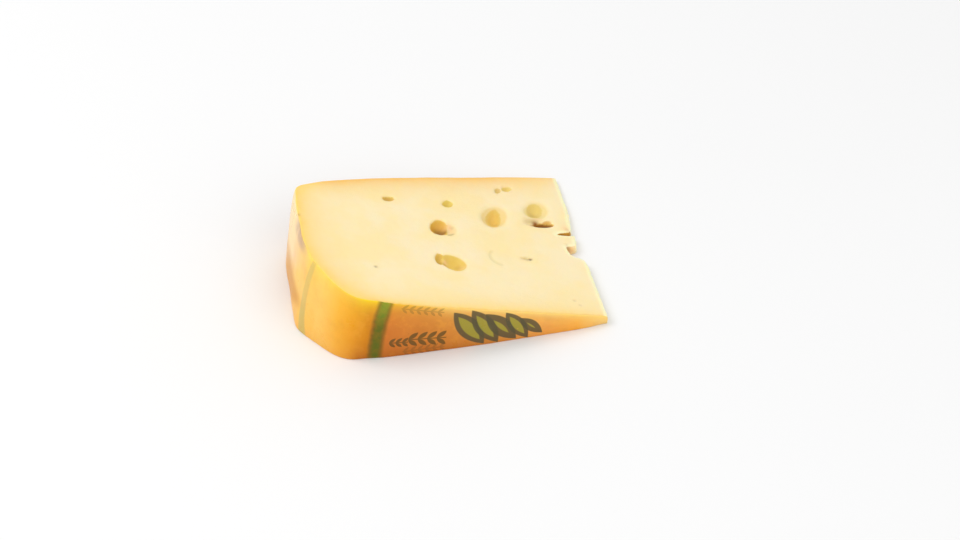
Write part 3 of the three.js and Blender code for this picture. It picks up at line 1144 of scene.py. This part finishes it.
def twig(n, plane, start, turn, length, pitch, half):
    """A printed twig of small leaf pairs along a straight stem."""
    along, across, _ = n.split(n.local(plane, (*start, 0), turn))
    cell = n.math("MODULO", n.plus(along, 100 * pitch), pitch)
    side = n.math("ABSOLUTE", across)
    leaf_middle = (pitch / 2, half[0] * 0.62, 0)
    x, y, _ = n.split(n.local(n.joined(cell, side), leaf_middle, 40, (*half, 1)))
    leaves = n.step(in_leaf(n, x, y), 0, 0.25)
    stem = n.step(side, 0.45, 0.2)
    return n.times(n.math("MAXIMUM", leaves, stem), n.band(along, 0, length, 0.4))


def leaf_print(n, at, on_face, tone):
    """Adds the printed leaves with their paler middles, and the twigs."""
    plane = n.joined(at.x, at.z)
    inked = n.times(on_face, n.step(n.noise(at.place, 1.6, 4, 0.6), 0.2, 0.34))
    for spot, half, turn, core in LEAVES:
        x, y, _ = n.split(n.local(plane, (*spot, 0), turn, (*half, 1)))
        inside = in_leaf(n, x, y)
        ink = n.blend(n.step(inside, core, core + 0.12), PRINT_DARK, PRINT_YELLOW_GREEN)
        tone = n.blend(n.times(n.step(inside, -0.04, 0.08), inked, 0.92), tone, ink)
    for strength, pair in ((0.85, BOLD_TWIGS), (0.35, FAINT_TWIGS)):
        twigs = n.math("MAXIMUM", *[twig(n, plane, *spec) for spec in pair])
        tone = n.blend(n.times(twigs, inked, strength), tone, PRINT_OLIVE)
    return tone


def rind_material():
    n = Nodes("rind")
    at = OnRind(n)
    tone = rind_base(n, at)
    tone = rind_low_shade(n, at, tone)
    tone = rind_glow(n, at, tone)
    tone = rim_sheen_shade_and_smudge(n, at, tone)
    on_face = n.step(n.math("ABSOLUTE", at.y), 42, 46)
    tone = ring_print(n, at, on_face, tone)
    tone = hoop_print(n, at, tone)
    tone = leaf_print(n, at, on_face, tone)
    peel = n.noise(at.place, 2.4, 3, 0.5)
    dimpled = n.noise(at.place, 9, 3, 0.5)
    return n.finish(
        Base_Color=tone,
        Roughness=n.line(at.clouds, 0.2, 0.2),
        Specular_IOR_Level=0.14,
        Subsurface_Weight=0.2,
        Subsurface_Radius=(1, 0.5, 0.15),
        Subsurface_Scale=0.002,
        Coat_Weight=0.03,
        Coat_Roughness=0.15,
        Normal=n.bump(peel, 0.00008, n.bump(dimpled, 0.00018)),
    )


def floor_material():
    n = Nodes("floor")
    place = n.add("TexCoord").outputs["Object"]
    tone = n.blend(n.noise(place, 0.4, 2), (0.86, 0.86, 0.86, 1), (0.88, 0.88, 0.88, 1))
    return n.finish(Base_Color=tone, Roughness=0.7, Specular_IOR_Level=0.2)


# ---- Stage ----


def make_floor():
    size = FLOOR_HALF_SIZE
    points = np.array([(-size, -size, 0), (size, -size, 0), (size, size, 0), (-size, size, 0)])
    floor = mesh_object("floor", points, [(0, 1, 2, 3)], {})
    floor.data.materials.append(floor_material())


def make_world():
    world = bpy.data.worlds.new("studio")
    world.use_nodes = True
    background = world.node_tree.nodes["Background"]
    background.inputs["Color"].default_value = (1, 1, 1, 1)
    background.inputs["Strength"].default_value = WORLD_STRENGTH
    bpy.context.scene.world = world


def aimed(name, data, place, direction):
    """A new lamp or camera that looks in a direction."""
    holder = placed(name, data)
    holder.location = place
    holder.rotation_mode = "QUATERNION"
    holder.rotation_quaternion = direction.to_track_quat("-Z", "Y")
    return holder


def make_lamp(name, place, size, power):
    light = bpy.data.lights.new(name, "AREA")
    light.shape = "SQUARE"
    light.size = size
    light.energy = power
    aimed(name, light, place, -Vector(place))


def make_camera():
    camera = bpy.data.cameras.new("camera")
    camera.lens = CAMERA_LENS
    camera.sensor_width = CAMERA_SENSOR
    camera.clip_start, camera.clip_end = 0.05, 20
    azimuth, elevation = math.radians(CAMERA_AZIMUTH), math.radians(CAMERA_ELEVATION)
    level = math.cos(elevation)
    back = Vector((math.sin(azimuth) * level, -math.cos(azimuth) * level, math.sin(elevation)))
    place = AXIS + (Vector(CAMERA_TARGET) + back * CAMERA_DISTANCE) * MM
    bpy.context.scene.camera = aimed("camera", camera, place, -back)


# ---- The scene ----

NODE = "cheese_wedge"
lowest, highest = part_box(NODE)
# The wheel's axis and middle plane in the part's frame, in metres.
BACK_CORNER = NOSE_STROKES[-1][-1][0] * math.cos(WEDGE_ANGLE)  # the nose's nearest to the axis
AXIS = Vector((highest.x + BACK_CORNER * MM, highest.y - half_height(BACK_CORNER) * MM, 0))


def make_cheese():
    wedge = Wedge()
    faces, is_rind = wedge.faces()
    pairs = edge_pairs(faces)
    points = smoothed(wedge.points(), pairs, wedge.smoothing(), SMOOTHING_ROUNDS)
    cheese = mesh_object("cheese", points * MM + np.array(AXIS), faces, wedge.attributes())
    cheese.data.materials.append(paste_material())
    cheese.data.materials.append(rind_material())
    cheese.data.polygons.foreach_set("material_index", np.array(is_rind, np.int32))
    cheese.data.polygons.foreach_set("use_smooth", np.ones(len(faces), bool))
    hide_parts(NODE)
    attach(cheese, "root")


make_cheese()
make_floor()
make_world()
for lamp in LAMPS:
    make_lamp(*lamp)
make_camera()
bpy.context.scene.view_settings.view_transform = "Standard"
